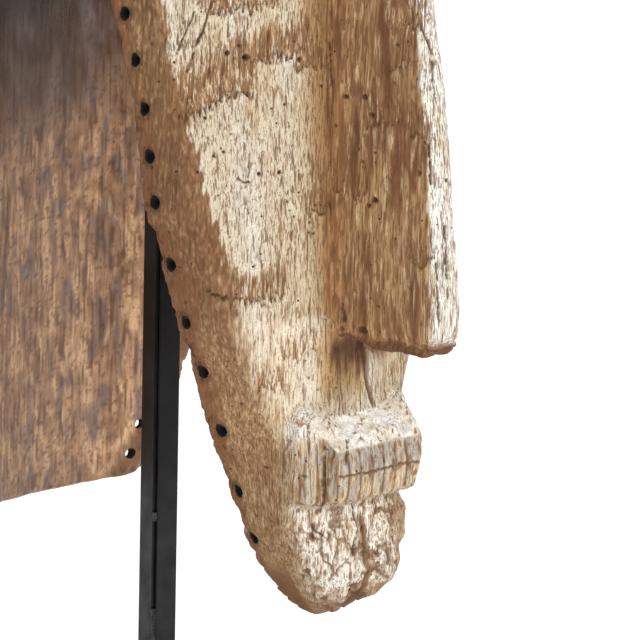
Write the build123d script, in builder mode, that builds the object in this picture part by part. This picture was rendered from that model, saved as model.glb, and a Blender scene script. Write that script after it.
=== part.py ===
from build123d import *
import os

# Carved wooden helmet mask on its steel display post.
#
# Frame: +Z is up and the mask faces -Y. The origin is the centre of the base's underside, on the
# post's axis. Millimetres throughout. Heights in the carving are given above the tip of the chin.

# ---- base and post -------------------------------------------------------------------------
base_diameter = 300.0
felt_thickness = 2.0
felt_inset = 2.0
plate_thickness = 10.0
base_edge_break = 1.2
plate_top = felt_thickness + plate_thickness
plinth_pitch_diameter = 240.0
plinth_hole_radius = 3.3
felt_hole_radius = 5.0
plinth_hole_count = 3

post_side = 16.0
post_wall = 2.0
seam_setback = 2.4
post_yaw = -12.0
socket_side = 24.0
socket_clearance = 0.3
socket_height = 60.0
socket_top = plate_top + socket_height
socket_weld_leg = 4.0
socket_weld_taper = 44.0

screw_radius = 3.0
screw_hole_radius = 3.05
screw_height = 42.0
nut_across_flats = 12.0
nut_thickness = 6.0
knob_radius = 11.0
knob_thickness = 9.0
knob_lobes = 6
lobe_radius = 4.0
lobe_ring_offset = 1.0
screw_tip_gap = 0.4
knob_gap = 3.0

# ---- mask ----------------------------------------------------------------------------------
chin_z = 130.0
crown_seat = 565.0
lace_hole_radius = 3.0

# ---- armature inside the mask ----------------------------------------------------------------
pad_thickness = 6.0
crown_plate_thickness = 4.0
crown_plate_radius = 36.0
crown_plate_edge_break = 0.8
crown_pad_inset = 1.0
hub_radius = 21.0
hub_height = 18.0
hub_level = 440.0
arm_width = 20.0
arm_thickness = 4.0
arm_drop = 26.0
arm_bend_radius = 8.0
arm_root_overlap = 1.0
arm_pad_height = 16.0
arm_pad_thickness = 3.0
pad_clearance = 0.6
front_reach = 119.0
rear_reach = 97.5
side_reach = 95.0

post_top = chin_z + crown_seat - pad_thickness - crown_plate_thickness

os.makedirs("parts", exist_ok=True)


def finish_piece(builder, node):
    """Label one finished piece and write it to its own file."""
    builder.part.label = node
    export_step(builder.part, "parts/" + node + ".step")
    sizes = builder.part.bounding_box().size
    print(f"{node:22s} {sizes.X:8.2f} {sizes.Y:8.2f} {sizes.Z:8.2f}")


# ============================================================================================
# The carving: one piece of wood
# ============================================================================================
# Each row is half of the outer outline at one height above the chin, as (x, y) points: beside
# the nose, mid cheek, the ridge between cheek and side band, the flap's rim, the side, and then
# the rear corner, the rear shoulder and the middle of the back.
flap_rows = [
    (0, [(5, -157), (8, -153), (10, -146), (8, -134), (108, 0), (74, 87), (56, 99), (26, 108)]),
    (12, [(13, -169), (19, -164), (22, -156), (17, -123), (108, 0), (75, 86), (56, 99), (26, 108)]),
    (30, [(20, -176), (29, -170), (34, -160), (29, -113), (108, 0), (76, 85), (56, 99), (26, 108)]),
    (60, [(28, -173), (39, -167), (47, -157), (45, -110), (108, 0), (84, 78), (60, 98), (27, 109)]),
    (84, [(26, -166), (38, -161), (47, -154), (53, -109), (108, 0), (89, 73), (63, 98), (27, 109)]),
    (112, [(18, -163), (35, -157), (49, -151), (66, -108), (108, 0), (94, 69), (66, 97), (28, 110)]),
    (132, [(16, -163), (38, -155), (58, -147), (73, -106), (108, 0), (97, 65), (68, 96), (29, 110)]),
    (185, [(15, -161), (48, -151), (82, -140), (90, -101), (108, 0), (102, 58), (71, 95), (30, 110)]),
    (252, [(14, -158), (55, -142), (95, -123), (104, -88), (108, 0), (106, 51), (74, 93), (30, 110)]),
    (376, [(12, -146), (55, -122), (98, -94), (108, -59), (110, 0), (108, 46), (77, 91), (31, 110)]),
    (440, [(14, -144), (57, -120), (99, -86), (108, -50), (110, 0), (107, 44), (77, 90), (31, 109)]),
]
crown_rows = [
    flap_rows[-1],
    (490, [(16, -135), (55, -112), (92, -79), (103, -45), (106, 0), (102, 40), (73, 84), (31, 103)]),
    (530, [(16, -115), (48, -97), (79, -70), (90, -40), (93, 0), (88, 34), (64, 72), (29, 87)]),
    (565, [(14, -83), (36, -72), (57, -53), (66, -31), (69, 0), (64, 27), (47, 53), (22, 64)]),
    (586, [(8, -46), (19, -42), (30, -32), (36, -19), (38, 0), (35, 17), (26, 30), (13, 36)]),
]

# Each row is the hollow's outline at one height: half-width, depth and start of the front
# curve, then of the rear curve.
hollow_rows = [
    (-8.0, (9, -141, -40), (95, 98, 45)),
    (12.0, (17, -140, -40), (95, 98, 45)),
    (46.0, (37, -139, -40), (95, 98, 45)),
    (91.0, (62, -138, -40), (95, 98, 45)),
    (132.0, (84, -137, -40), (95, 98, 45)),
    (185.0, (95, -135, -40), (95, 98, 45)),
    (252.0, (98, -134, -40), (95, 98, 45)),
    (376.0, (96, -129, -40), (95, 98, 45)),
    (440.0, (95, -122, -40), (94, 98, 43)),
    (490.0, (90, -106, -38), (89, 92, 38)),
    (530.0, (76, -84, -34), (75, 76, 32)),
    (crown_seat, (50, -54, -26), (50, 52, 20)),
]

# The side arch seen from the side, as (y, height above the chin): up the face's rim, over the
# apex and down the rear rim.
arch_points = [
    (-131, 0), (-114, 25), (-109.5, 60), (-107.5, 112), (-104, 160), (-97, 210), (-88, 252),
    (-78, 310), (-59, 376), (-36, 418), (-5, 432), (26, 414), (43, 372), (50, 300), (57, 200),
    (68, 107), (88, 28),
]
arch_foot_points = [(92, -30), (-136, -30)]
cut_reach = 130.0

# The long nose: height above the chin, half-width and y of its front, half-width of its root.
nose_rows = [
    (176, 12, -237, 16), (205, 12, -239, 16), (300, 10, -230, 14), (392, 7, -216, 12),
    (458, 7, -156, 12),
]
nose_foot_level = nose_rows[0][0]
nose_foot_band = 1.0
nose_root_y = -132.0
nose_tip_fillet = 7.0

mouth_half_width = 34.0
mouth_profile = [(-148, 130), (-166, 124), (-183, 112), (-186, 96), (-184, 79), (-148, 68)]
lip_slit_level = 96.0
lip_slit_height = 2.0
slit_depth = 3.0
slit_overrun = 2.0
slit_centre_y = -184.0
tooth_cut_width = 1.6
tooth_pitch = 9.5
tooth_cut_count = 6
tooth_top = 110.0
tooth_foot = 80.0
tooth_cut_centre_y = -186.0

eye_inner = 28.0
eye_outer = 68.0
eye_level = 411.0
eye_height = 13.0
eye_cut_start = 80.0
eye_cut_depth = 90.0

brow_outline = [(14, -155), (60, -131), (105, -94), (98, -60)]
brow_level = 424.0
brow_height = 18.0
crest_half_width = 7.0
crest_profile = [
    (-140, 436), (-152, 441), (-144, 492), (-123, 536), (-90, 573), (-50, 595), (0, 600),
    (42, 594), (75, 573), (98, 538), (112, 492), (117, 440), (112, 395), (105, 390), (100, 470),
    (60, 550), (0, 575), (-60, 562), (-112, 500), (-125, 450),
]

back_trim = [(80, -10), (130, -10), (130, 20), (80, 30)]

# Lacing holes. Those round the arch go straight through both side walls, as (y, height); those
# low on the back flap go through it from front to back, as (half spacing, height).
arch_holes = [
    (-119, 48), (-117, 78), (-116, 117), (-113, 154), (-109, 185), (-103, 220), (-96, 257),
    (-91, 284), (-86, 312), (-79, 340), (-71, 367), (-59, 396), (-38, 427), (-12, 442),
    (17, 437), (39, 418), (52, 390), (57, 360), (60, 330), (62, 300), (64, 269), (66, 237),
    (68, 206), (71, 174), (75, 142), (79, 112),
]
back_holes = [(61, 42), (66, 60), (71, 80), (75, 98)]
back_hole_start = 50.0
back_hole_reach = 80.0


def mirrored(points):
    """A closed outline from its right half, listed from the front middle to the rear middle."""
    left = [(-x, y) for x, y in reversed(points)]
    return points + left


def raised(profile):
    """A side profile given in heights above the chin, moved up to its place on the post."""
    return [(y, chin_z + height) for y, height in profile]


with BuildPart() as mask_shell:
    # the face flap, the back flap and the head between them
    for height, half_outline in flap_rows:
        with BuildSketch(Plane.XY.offset(chin_z + height)):
            with BuildLine():
                Polyline(*mirrored(half_outline), close=True)
            make_face()
    loft(ruled=True)

    # domed crown
    for height, half_outline in crown_rows:
        with BuildSketch(Plane.XY.offset(chin_z + height)):
            with BuildLine():
                Polyline(*mirrored(half_outline), close=True)
            make_face()
    loft()

    # brow ridge across the face, above the eyes
    with BuildSketch(Plane.XY.offset(chin_z + brow_level)):
        with BuildLine():
            Polyline(*mirrored(brow_outline), close=True)
        make_face()
    extrude(amount=brow_height)

    # long narrow nose, running up into the brow
    for height, front_half, front_y, root_half in nose_rows:
        with BuildSketch(Plane.XY.offset(chin_z + height)):
            with BuildLine():
                Polyline(*mirrored([(front_half, front_y), (root_half, nose_root_y)]), close=True)
            make_face()
    loft(ruled=True)
    nose_foot_z = chin_z + nose_foot_level
    nose_foot = edges().filter_by_position(
        Axis.Z, nose_foot_z - nose_foot_band, nose_foot_z + nose_foot_band
    )
    fillet(nose_foot.filter_by(Axis.X).sort_by(Axis.Y)[0], nose_tip_fillet)

    # median crest over the crown, carrying the nose's line to the back
    with BuildSketch(Plane.YZ.offset(-crest_half_width)):
        with BuildLine():
            Polyline(*raised(crest_profile), close=True)
        make_face()
    extrude(amount=2 * crest_half_width)

    # jutting mouth with its sloping upper lip
    with BuildSketch(Plane.YZ.offset(-mouth_half_width)):
        with BuildLine():
            Polyline(*raised(mouth_profile), close=True)
        make_face()
    extrude(amount=2 * mouth_half_width)

    # the line between the teeth, across the front and round both ends
    with BuildSketch(Plane.XY.offset(chin_z + lip_slit_level - lip_slit_height / 2)):
        with Locations((0, slit_centre_y)):
            Rectangle(2 * (mouth_half_width + slit_overrun), 2 * slit_depth)
    extrude(amount=lip_slit_height, mode=Mode.SUBTRACT)

    # the gaps between the teeth
    with BuildSketch(Plane.XY.offset(chin_z + tooth_foot)):
        with Locations((0, tooth_cut_centre_y)):
            with GridLocations(tooth_pitch, 1, tooth_cut_count, 1):
                Rectangle(tooth_cut_width, 2 * slit_depth)
    extrude(amount=tooth_top - tooth_foot, mode=Mode.SUBTRACT)

    # hollow for the wearer's head, open below, with a flat seat under the crown
    for height, (front_half, front_y, front_start), (rear_half, rear_y, rear_start) in hollow_rows:
        with BuildSketch(Plane.XY.offset(chin_z + height)):
            with BuildLine():
                EllipticalCenterArc(
                    (0, front_start), front_half, front_start - front_y, 180, arc_size=180
                )
                Line((front_half, front_start), (rear_half, rear_start))
                EllipticalCenterArc(
                    (0, rear_start), rear_half, rear_y - rear_start, 0, arc_size=180
                )
                Line((-rear_half, rear_start), (-front_half, front_start))
            make_face()
    loft(mode=Mode.SUBTRACT)

    # tall arches between the face flap and the back flap
    with BuildSketch(Plane.YZ.offset(-cut_reach)):
        with BuildLine():
            arch = Spline(*raised(arch_points))
            Polyline(arch @ 1, *raised(arch_foot_points), arch @ 0)
        make_face()
    extrude(amount=2 * cut_reach, mode=Mode.SUBTRACT)

    # the back flap ends a little above the chin
    with BuildSketch(Plane.YZ.offset(-cut_reach)):
        with BuildLine():
            Polyline(*raised(back_trim), close=True)
        make_face()
    extrude(amount=2 * cut_reach, mode=Mode.SUBTRACT)

    # eye slots
    with BuildSketch(Plane.XZ.offset(eye_cut_start)):
        with Locations((0, chin_z + eye_level)):
            with GridLocations(eye_inner + eye_outer, 1, 2, 1):
                Rectangle(eye_outer - eye_inner, eye_height)
    extrude(amount=eye_cut_depth, mode=Mode.SUBTRACT)

    # lacing holes round the arches, through both side walls
    with BuildSketch(Plane.YZ.offset(-cut_reach)):
        with Locations(*raised(arch_holes)):
            Circle(lace_hole_radius)
    extrude(amount=2 * cut_reach, mode=Mode.SUBTRACT)

    # lacing holes low on the back flap
    with BuildSketch(Plane.XZ.offset(-back_hole_start)):
        for half_spacing, height in back_holes:
            with Locations((0, chin_z + height)):
                with GridLocations(2 * half_spacing, 1, 2, 1):
                    Circle(lace_hole_radius)
    extrude(amount=-back_hole_reach, mode=Mode.SUBTRACT)

finish_piece(mask_shell, "mask_shell")

# ============================================================================================
# The armature that holds the mask up from inside
# ============================================================================================
# The post is a square box of two steel angles, stitch welded along two open corner seams. It is
# turned a little on the post's axis, so its planes are the turned ones.
post_plane = Plane.XY.rotated((0, 0, post_yaw))
half_post = post_side / 2


def angle_outline(corner_sign):
    """The L section of one angle, with its heel at the (+, -) or (-, +) corner of the post."""
    heel = (corner_sign * half_post, -corner_sign * half_post)
    leg_end = half_post - seam_setback
    inside = half_post - post_wall
    return [
        heel,
        (heel[0], corner_sign * leg_end),
        (corner_sign * inside, corner_sign * leg_end),
        (corner_sign * inside, -corner_sign * inside),
        (-corner_sign * leg_end, -corner_sign * inside),
        (-corner_sign * leg_end, heel[1]),
    ]


for corner_sign, node in ((1, "post_angle_right"), (-1, "post_angle_left")):
    with BuildPart() as post_angle:
        with BuildSketch(post_plane.offset(plate_top)):
            with BuildLine():
                Polyline(*angle_outline(corner_sign), close=True)
            make_face()
        extrude(amount=post_top - plate_top)
    finish_piece(post_angle, node)

# Short welds that bridge the open seams. Each fills the corner notch flush with the post, and
# the notch's floor, where the two legs almost meet, stays open behind it.
weld_levels = [(84, 22), (160, 6), (340, 22), (440, 22), (534, 22), (640, 22)]
weld_centre = half_post - seam_setback / 2
with BuildPart() as post_stitch_welds:
    for weld_foot, weld_length in weld_levels:
        with BuildSketch(post_plane.offset(weld_foot)):
            with Locations((weld_centre, weld_centre), (-weld_centre, -weld_centre)):
                Rectangle(seam_setback, seam_setback)
        extrude(amount=weld_length)
finish_piece(post_stitch_welds, "post_stitch_welds")

with BuildPart() as arm_hub:
    with BuildSketch(Plane.XY.offset(chin_z + hub_level)):
        Circle(hub_radius)
    extrude(amount=hub_height)
    with BuildSketch(post_plane.offset(chin_z + hub_level)):
        Rectangle(post_side, post_side)
    extrude(amount=hub_height, mode=Mode.SUBTRACT)
finish_piece(arm_hub, "arm_hub")

with BuildPart() as crown_plate:
    with BuildSketch(Plane.XY.offset(post_top)):
        Circle(crown_plate_radius)
    extrude(amount=crown_plate_thickness)
    chamfer(edges().filter_by(GeomType.CIRCLE), crown_plate_edge_break)
finish_piece(crown_plate, "crown_plate")

with BuildPart() as crown_pad:
    with BuildSketch(Plane.XY.offset(post_top + crown_plate_thickness)):
        Circle(crown_plate_radius - crown_pad_inset)
    extrude(amount=pad_thickness)
finish_piece(crown_pad, "crown_pad")

# Four flat arms welded to the hub. Each runs out level and turns down to a tab that carries a
# felt pad beside the wall.
arm_level = chin_z + hub_level + hub_height / 2
arm_specs = [
    ("front", -90, front_reach), ("rear", 90, rear_reach),
    ("left", 180, side_reach), ("right", 0, side_reach),
]
for side, turn, wall_reach in arm_specs:
    arm_plane = Plane.XZ.rotated((0, 0, turn))
    tab_face = wall_reach - pad_clearance - arm_pad_thickness
    tab_foot = arm_level - arm_drop
    with BuildPart() as arm:
        with BuildSketch(arm_plane.offset(-arm_width / 2)):
            with BuildLine():
                arm_path = FilletPolyline(
                    (hub_radius - arm_root_overlap, arm_level),
                    (tab_face - arm_thickness / 2, arm_level),
                    (tab_face - arm_thickness / 2, tab_foot),
                    radius=arm_bend_radius,
                )
            trace(arm_path, arm_thickness)
        extrude(amount=arm_width)
        # the root follows the hub's round side
        with BuildSketch(Plane.XY.offset(arm_level - arm_thickness)):
            Circle(hub_radius)
        extrude(amount=2 * arm_thickness, mode=Mode.SUBTRACT)
    finish_piece(arm, side + "_arm")

    with BuildPart() as arm_pad:
        with BuildSketch(arm_plane.offset(-arm_width / 2)):
            with Locations((tab_face + arm_pad_thickness / 2, tab_foot + arm_pad_height / 2)):
                Rectangle(arm_pad_thickness, arm_pad_height)
        extrude(amount=arm_width)
    finish_piece(arm_pad, side + "_arm_pad")

# ============================================================================================
# The base
# ============================================================================================
with BuildPart() as base_felt:
    with BuildSketch():
        Circle(base_diameter / 2 - felt_inset)
        with PolarLocations(plinth_pitch_diameter / 2, plinth_hole_count, start_angle=90):
            Circle(felt_hole_radius, mode=Mode.SUBTRACT)
    extrude(amount=felt_thickness)
finish_piece(base_felt, "base_felt")

with BuildPart() as base_plate:
    with BuildSketch(Plane.XY.offset(felt_thickness)):
        Circle(base_diameter / 2)
    extrude(amount=plate_thickness)
    chamfer(edges().filter_by(GeomType.CIRCLE), base_edge_break)
    with BuildSketch(Plane.XY.offset(felt_thickness)):
        with PolarLocations(plinth_pitch_diameter / 2, plinth_hole_count, start_angle=90):
            Circle(plinth_hole_radius)
    extrude(amount=plate_thickness, mode=Mode.SUBTRACT)
finish_piece(base_plate, "base_plate")

# The socket takes the post's foot. The clamp screw enters through its rear wall.
rear_plane = Plane.XZ.rotated((0, 0, post_yaw))
half_socket = socket_side / 2
socket_bore_side = post_side + 2 * socket_clearance
with BuildPart() as base_socket:
    with BuildSketch(post_plane.offset(plate_top)):
        Rectangle(socket_side, socket_side)
        Rectangle(socket_bore_side, socket_bore_side, mode=Mode.SUBTRACT)
    extrude(amount=socket_height)
    with BuildSketch(rear_plane.offset(-half_socket)):
        with Locations((0, screw_height)):
            Circle(screw_hole_radius)
    extrude(amount=half_socket, mode=Mode.SUBTRACT)
finish_piece(base_socket, "base_socket")

with BuildPart() as socket_weld:
    with BuildSketch(post_plane.offset(plate_top)):
        Rectangle(socket_side + 2 * socket_weld_leg, socket_side + 2 * socket_weld_leg)
    extrude(amount=socket_weld_leg, taper=socket_weld_taper)
    with BuildSketch(post_plane.offset(plate_top)):
        Rectangle(socket_side, socket_side)
    extrude(amount=socket_weld_leg, mode=Mode.SUBTRACT)
finish_piece(socket_weld, "socket_weld")

with BuildPart() as clamp_nut:
    with BuildSketch(rear_plane.offset(-half_socket - nut_thickness)):
        with Locations((0, screw_height)):
            RegularPolygon(nut_across_flats / 2, 6, major_radius=False)
            Circle(screw_hole_radius, mode=Mode.SUBTRACT)
    extrude(amount=nut_thickness)
finish_piece(clamp_nut, "clamp_nut")

knob_face = half_socket + nut_thickness + knob_gap
with BuildPart() as clamp_screw:
    with BuildSketch(rear_plane.offset(-knob_face)):
        with Locations((0, screw_height)):
            Circle(screw_radius)
    extrude(amount=knob_face - half_post - screw_tip_gap)
    with BuildSketch(rear_plane.offset(-knob_face - knob_thickness)):
        with Locations((0, screw_height)):
            Circle(knob_radius)
            with PolarLocations(knob_radius + lobe_ring_offset, knob_lobes):
                Circle(lobe_radius, mode=Mode.SUBTRACT)
    extrude(amount=knob_thickness)
finish_piece(clamp_screw, "clamp_screw")
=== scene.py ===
"""The looks of the carved helmet mask and its display post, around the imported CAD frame."""

import math

import bmesh
import bpy
import numpy as np
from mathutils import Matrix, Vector


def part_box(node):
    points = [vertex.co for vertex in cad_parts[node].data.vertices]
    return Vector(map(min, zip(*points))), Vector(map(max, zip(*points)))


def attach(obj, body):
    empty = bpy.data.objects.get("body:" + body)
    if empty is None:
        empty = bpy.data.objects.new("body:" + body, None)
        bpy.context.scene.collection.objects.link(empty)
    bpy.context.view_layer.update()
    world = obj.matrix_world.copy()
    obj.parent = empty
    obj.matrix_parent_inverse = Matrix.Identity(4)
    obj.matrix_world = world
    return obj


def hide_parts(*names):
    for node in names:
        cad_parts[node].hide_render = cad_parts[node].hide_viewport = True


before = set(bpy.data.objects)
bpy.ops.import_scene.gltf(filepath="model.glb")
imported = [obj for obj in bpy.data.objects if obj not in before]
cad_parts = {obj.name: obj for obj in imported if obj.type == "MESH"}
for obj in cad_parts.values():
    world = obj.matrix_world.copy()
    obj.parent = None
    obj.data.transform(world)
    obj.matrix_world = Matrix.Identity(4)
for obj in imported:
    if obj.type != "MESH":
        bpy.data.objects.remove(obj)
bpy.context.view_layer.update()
MM = 0.001

# ---------------------------------------------------------------------------------------------
# Camera: a long lens, so the carving keeps nearly parallel sides
# ---------------------------------------------------------------------------------------------
AZIMUTH = math.radians(-45.0)
ELEVATION = math.radians(14.0)
ROLL = math.radians(-1.05)
LENS = 900.0
SENSOR = 36.0
VIEW_WIDTH = 0.384
CLIP_END = 60.0
RIGHT_OF_POST = 0.0943
ABOVE_CHIN = 0.1746
CHIN_TIP_Y = -0.151

back = Vector((
    math.sin(AZIMUTH) * math.cos(ELEVATION),
    -math.cos(AZIMUTH) * math.cos(ELEVATION),
    math.sin(ELEVATION),
))
right = Vector((math.cos(AZIMUTH), math.sin(AZIMUTH), 0.0))
up = back.cross(right)
chin_tip = Vector((0.0, CHIN_TIP_Y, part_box("mask_shell")[0].z))
distance = VIEW_WIDTH / 2 / math.tan(math.atan(SENSOR / 2 / LENS))
aim = right * RIGHT_OF_POST + up * (chin_tip.dot(up) + ABOVE_CHIN)

camera = bpy.data.objects.new("camera", bpy.data.cameras.new("camera"))
bpy.context.scene.collection.objects.link(camera)
camera.data.lens = LENS
camera.data.sensor_width = SENSOR
camera.data.clip_end = CLIP_END
camera.location = aim + back * distance
camera.rotation_euler = back.to_track_quat("Z", "Y").to_euler()
camera.rotation_euler.rotate_axis("Z", -ROLL)
bpy.context.scene.camera = camera
bpy.context.scene.view_settings.view_transform = "Standard"


# ---------------------------------------------------------------------------------------------
# Small helpers
# ---------------------------------------------------------------------------------------------
def smooth(low, high, value):
    """0 below low, 1 above high, and an even curve between."""
    t = np.clip((value - low) / (high - low), 0.0, 1.0)
    return t * t * (3 - 2 * t)


class Noise:
    """Gradient noise on a seeded lattice, about -1 to 1, for many points at once."""

    def __init__(self, seed):
        rng = np.random.default_rng(seed)
        self.order = np.tile(rng.permutation(256), 2)
        steps = rng.normal(size=(256, 3))
        self.steps = steps / np.linalg.norm(steps, axis=1)[:, None]

    def __call__(self, points, size):
        cell = points / np.asarray(size, float)
        whole = np.floor(cell).astype(int)
        part = cell - whole
        ease = part ** 3 * (part * (part * 6 - 15) + 10)
        whole &= 255
        total = np.zeros(len(points))
        for corner in range(8):
            bit = np.array([corner & 1, corner >> 1 & 1, corner >> 2 & 1])
            at = (whole + bit) & 255
            pick = self.order[self.order[self.order[at[:, 0]] + at[:, 1]] + at[:, 2]]
            slope = np.einsum("ij,ij->i", self.steps[pick], part - bit)
            weight = np.prod(np.where(bit == 1, ease, 1 - ease), axis=1)
            total += slope * weight
        return total * 1.6


def mixed(base, top, amount):
    """Two colours, or arrays of colours, mixed point by point."""
    return base * (1 - amount[:, None]) + np.asarray(top) * amount[:, None]


def new_material(name):
    """A node material, its node tree, its shader and a maker of further nodes."""
    material = bpy.data.materials.new(name)
    material.use_nodes = True
    tree = material.node_tree
    shader = tree.nodes["Principled BSDF"]

    def node(kind, **settings):
        made = tree.nodes.new(kind)
        for key, value in settings.items():
            setattr(made, key, value)
        return made

    return material, tree, shader, node


# ---------------------------------------------------------------------------------------------
# The carving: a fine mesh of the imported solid, weathered along its grain
# ---------------------------------------------------------------------------------------------
# The dense mesh's size and the weld's reach, in metres, and rounds of evening out.
GRID = 0.0015
MERGE_DISTANCE = 0.00002
EVEN_ROUNDS = 14
BLOCK_ROUNDS = 26
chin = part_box("mask_shell")[0].z / MM

# Side view lines of the carving: heights above the chin, and the y of the line there, in mm.
RIM_HEIGHTS = [0, 25, 60, 112, 160, 210, 252, 310, 376, 418, 432]
RIM_Y = [-131, -114, -109.5, -107.5, -104, -97, -88, -78, -59, -36, -5]
REAR_HEIGHTS = [28, 107, 200, 300, 372, 414, 432]
REAR_Y = [88, 68, 57, 50, 43, 26, -5]
RIDGE_HEIGHTS = [0, 30, 60, 112, 132, 185, 252, 376, 440]
RIDGE_Y = [-146, -158, -156, -151, -147, -140, -123, -94, -86]

# Torn edges of the seen cheek and nose. The diagonal runs level across the face, from the rim
# (low) to the nose's front (high). Each has its (diagonal, height) points in mm, how far the
# broken wood runs up from it, how deep it is at the edge, and how dark the painted shadow along
# the edge is.
CHIPS = [
    ([(8, 308), (14, 309), (30, 315), (37, 321), (52, 320)], 34, 1.9, 0.35),
    ([(41, 337), (47, 337), (64, 343), (72, 341), (84, 347)], 20, 1.8, 0.75),
    ([(27, 368), (38, 371), (52, 371), (66, 373)], 44, 1.6, 0.4),
    ([(43, 201), (58, 200), (72, 201)], 20, 1.7, 0.85),
    ([(78, 331), (86, 336), (90, 333)], 22, 1.5, 0.4),
    ([(87, 249), (98, 250)], 12, 1.6, 0.8),
    ([(72, 168), (82, 164), (92, 167)], 14, 0.8, 0.3),
    ([(60, 150), (66, 147), (74, 149)], 10, 1.0, 0.5),
    ([(119, 300), (123, 306), (131, 307), (138, 311)], 16, 1.2, 0.9),
    ([(143, 307), (149, 305), (157, 301)], 20, 1.6, 0.9),
    ([(140, 366), (147, 369), (153, 367)], 26, 1.5, 0.6),
    ([(130, 336), (137, 342), (146, 348)], 24, 1.2, 0.1),
    ([(104, 262), (112, 258), (118, 262)], 26, 0.9, 0.2),
    ([(146, 232), (152, 229), (160, 233)], 18, 1.2, 0.5),
]
# Thin splits and scratches: (diagonal, height) points, half width, depth.
CRACKS = [
    ([(29, 208), (33, 205), (40, 204)], 1.1, 2.2),
    ([(44, 273), (56, 268)], 0.3, 1.0),
    ([(8, 347), (16, 366), (25, 388), (36, 412)], 0.35, 0.9),
    ([(14, 336), (22, 358), (31, 384), (42, 410)], 0.4, 1.0),
    ([(20, 352), (24, 362)], 0.3, 0.8),
    ([(152, 367), (157, 352), (157, 338)], 0.4, 1.4),
    ([(156, 301), (157, 290), (158, 279)], 0.8, 2.0),
    ([(97, 117), (98, 98), (97, 72)], 0.5, 1.2),
    ([(112, 116), (112, 104)], 0.4, 1.0),
    ([(115, 74), (117, 66), (119, 58), (116, 49), (118, 40)], 0.4, 1.6),
    ([(92, 66), (96, 60), (101, 56)], 0.6, 1.4),
    ([(108, 196), (109, 186), (108, 178)], 0.4, 1.2),
    ([(99, 350), (100, 335), (101, 326)], 0.4, 1.6),
    ([(166, 253), (167, 244)], 0.7, 2.4),
    ([(167, 240), (168, 226), (169.5, 208)], 0.3, 2.0),
    ([(162, 232), (163, 214), (164, 196)], 0.2, 1.2),
]
# Worm holes and knots of the seen cheek and nose: diagonal, height, radius, depth.
PITS = [
    (48.3, 343, 2.1, 5.0), (37, 346, 1.4, 2.5), (44, 350, 1.1, 2.0), (124.8, 262, 1.7, 4.0),
    (121.6, 258, 1.0, 3.0), (118.3, 322, 1.7, 3.5), (108, 320, 1.2, 2.5), (119, 182, 2.8, 3.0),
    (136, 357, 1.2, 3.0), (146, 214, 1.2, 3.0), (57, 275, 1.0, 2.5), (69, 275, 1.1, 3.0),
    (150, 284, 1.1, 3.0), (167, 279, 1.0, 2.6), (171, 262, 1.0, 2.6), (122, 312, 1.5, 3.0),
    (36, 289, 0.9, 2.0), (25, 309, 0.9, 2.0), (80, 340, 1.3, 2.6), (117, 283, 0.9, 2.0),
]
# Lacing holes: the y and height of those round the arches, then half spacing and height behind.
ARCH_HOLES = [
    (-119, 48), (-117, 78), (-116, 117), (-113, 154), (-109, 185), (-103, 220), (-96, 257),
    (-91, 284), (-86, 312), (-79, 340), (-71, 367), (-59, 396), (-38, 427), (-12, 442),
    (17, 437), (39, 418), (52, 390), (57, 360), (60, 330), (62, 300), (64, 269),
    (66, 237), (68, 206), (71, 174), (75, 142), (79, 112),
]
BACK_HOLES = [(61, 42), (66, 60), (71, 80), (75, 98)]
HOLE_RADIUS = 3.0
# The holes are worn taller than they are wide.
HOLE_TALLNESS = 1.35
# Upright cuts between the teeth, and the lip slit's level.
TOOTH_CUTS = [-23.75, -14.25, -4.75, 4.75, 14.25, 23.75]
SLIT_LEVEL = 96.0
# The worn wood beside the mouth block's end is pushed out this far, in x and in y.
SHOULDER_FILL = 8.0
# The nose's front lower corner is worn to an oval: where that starts, and its half-axes.
NOSE_CORNER_Y = -228.0
NOSE_CORNER_DEPTH = 10.0
NOSE_CORNER_HEIGHT = 190.0
NOSE_CORNER_RISE = 18.0
# The broken layers step down the grain this often, counted from this height.
LAYER_TOP = 390.0
LAYER_HEIGHT = 74.0
SMALL_LAYER_HEIGHT = 27.0
# The arches' top, and the y of their middle, where the face's rim ends and the back's begins.
ARCH_APEX = 432.0
ARCH_MIDDLE_Y = -5.0
# Distances, in mm, that count as far from any rim and from any lacing hole.
FAR_FROM_RIM = 60.0
FAR_FROM_HOLE = 99.0
# Limits of the weathering, inwards and outwards.
DEEPEST = -5.5
PROUDEST = 10.0
WORM_HOLES = 150
WORM_REACH = 2.0
WORM_DEPTH = 1.6


def dense_copy(source):
    """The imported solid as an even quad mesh."""
    base = bpy.data.objects.new("mask_carving", source.data.copy())
    base.data.materials.clear()
    bpy.context.scene.collection.objects.link(base)
    weld = base.modifiers.new("weld", "WELD")
    weld.merge_threshold = MERGE_DISTANCE
    remesh = base.modifiers.new("remesh", "REMESH")
    remesh.mode = "VOXEL"
    remesh.voxel_size = GRID
    even = bpy.data.meshes.new_from_object(base.evaluated_get(bpy.context.evaluated_depsgraph_get()))
    base.modifiers.clear()
    base.data = even
    return base


def read_points(mesh):
    """The mesh's points, in metres, a row each."""
    points = np.empty(len(mesh.vertices) * 3)
    mesh.vertices.foreach_get("co", points)
    return points.reshape(-1, 3)


def read_normals(mesh):
    """The normals at the mesh's points, a row each."""
    normals = np.empty(len(mesh.vertices) * 3)
    mesh.vertex_normals.foreach_get("vector", normals)
    return normals.reshape(-1, 3)


def write_points(mesh, points):
    """Move the mesh's points, given in metres, a row each."""
    mesh.vertices.foreach_set("co", points.ravel())
    mesh.update()


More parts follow.
